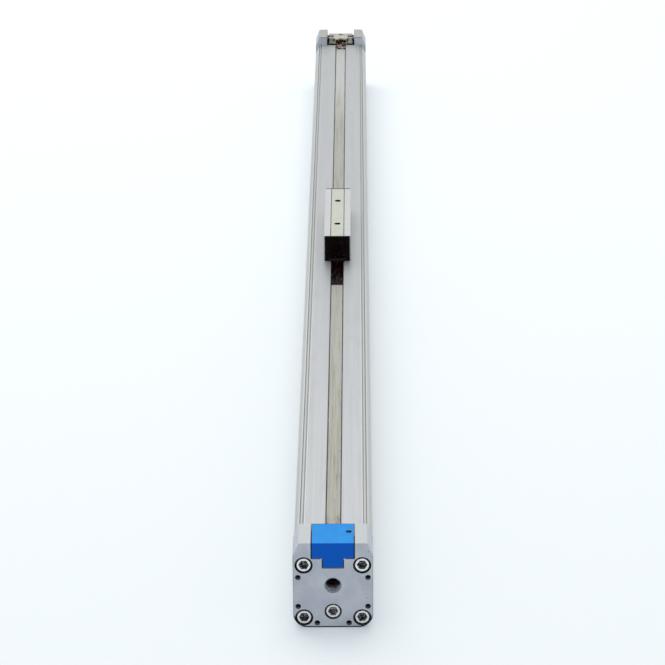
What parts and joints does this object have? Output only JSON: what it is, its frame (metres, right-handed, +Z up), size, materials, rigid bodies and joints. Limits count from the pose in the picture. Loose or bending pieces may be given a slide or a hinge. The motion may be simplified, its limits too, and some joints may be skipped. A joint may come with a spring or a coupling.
{
  "type": "rodless pneumatic cylinder",
  "caption": "Band-sealed rodless air cylinder with a slotted square barrel, notched end caps, a blue end cover and a slim driver that slides along the top.",
  "frame": {"origin": "middle of the barrel's length and width, on the resting plane under it", "axes": "+Y along the cylinder towards the end without a cover, +X across, +Z up through the driver's mounting face"},
  "size_m": [0.045, 1.05, 0.0635],
  "materials": {
    "barrel": "extruded, clear anodised, fine lengthwise grain",
    "cap": "die-cast aluminium with a fine silver-grey coat",
    "cover_blue": "moulded blue plastic, satin top and smooth front",
    "bright_steel": "zinc-plated screws",
    "clamp_plate": "plated pressed steel",
    "black_plastic": "black moulded plastic",
    "band": "warm grey band with lengthwise streaks",
    "driver": "anodised aluminium",
    "bar": "aluminium, warmer than the driver",
    "seal_rubber": "black nitrile rubber",
    "seal_green": "polyurethane seal",
    "liner": "natural acetal",
    "yoke": "machined aluminium",
    "piston": "glass-filled plastic",
    "wear": "bronze-filled wear strip",
    "pin": "turned brass",
    "magnet": "sintered magnet",
    "dark_steel": "blackened steel"
  },
  "bodies": {
    "cylinder": {"barrel": "barrel", "near_cap": "cap", "far_cap": "cap", "near_cap_screws": "bright_steel", "far_cap_screws": "bright_steel", "near_cap_cover": "cover_blue", "near_band_clamp": "clamp_plate", "far_band_clamp": "clamp_plate", "near_clamp_screws": "clamp_plate", "far_clamp_screws": "clamp_plate", "near_side_plugs": "clamp_plate", "far_side_plugs": "clamp_plate", "near_band_holder": "black_plastic", "far_band_holder": "black_plastic", "cover_band": "band", "sealing_band": "band", "near_cap_seal": "seal_rubber", "far_cap_seal": "seal_rubber", "near_bumper": "seal_rubber", "far_bumper": "seal_rubber", "near_cushion_seal": "seal_green", "far_cushion_seal": "seal_green"},
    "carriage": {"driver_body": "driver", "driver_bar": "bar", "driver_bar_screws": "dark_steel", "near_end_piece": "black_plastic", "far_end_piece": "black_plastic", "slide_strips": "liner", "yoke": "yoke", "yoke_screws": "dark_steel", "near_seal_guide": "liner", "far_seal_guide": "liner", "near_piston": "piston", "far_piston": "piston", "near_piston_seal": "seal_green", "far_piston_seal": "seal_green", "near_wear_ring": "wear", "far_wear_ring": "wear", "near_cushion_pin": "pin", "far_cushion_pin": "pin", "piston_magnets": "magnet"},
    "near_adjuster": {"near_cushion_screw": "bright_steel", "near_screw_seal": "seal_rubber"},
    "far_adjuster": {"far_cushion_screw": "bright_steel", "far_screw_seal": "seal_rubber"}
  },
  "joints": [
    {"name": "carriage_slide", "type": "slide", "parent": "cylinder", "child": "carriage", "axis": [0, 1, 0], "range_m": [-0.3835, 0.3915], "deforming": ["cover_band", "sealing_band"]},
    {"name": "near_cushion_turn", "type": "hinge", "parent": "cylinder", "child": "near_adjuster", "pos_m": [0, -0.525, 0.00995], "axis": [0, -1, 0], "range_deg": [-540, 540]},
    {"name": "far_cushion_turn", "type": "hinge", "parent": "cylinder", "child": "far_adjuster", "pos_m": [0, 0.525, 0.00995], "axis": [0, 1, 0], "range_deg": [-540, 540]}
  ]
}
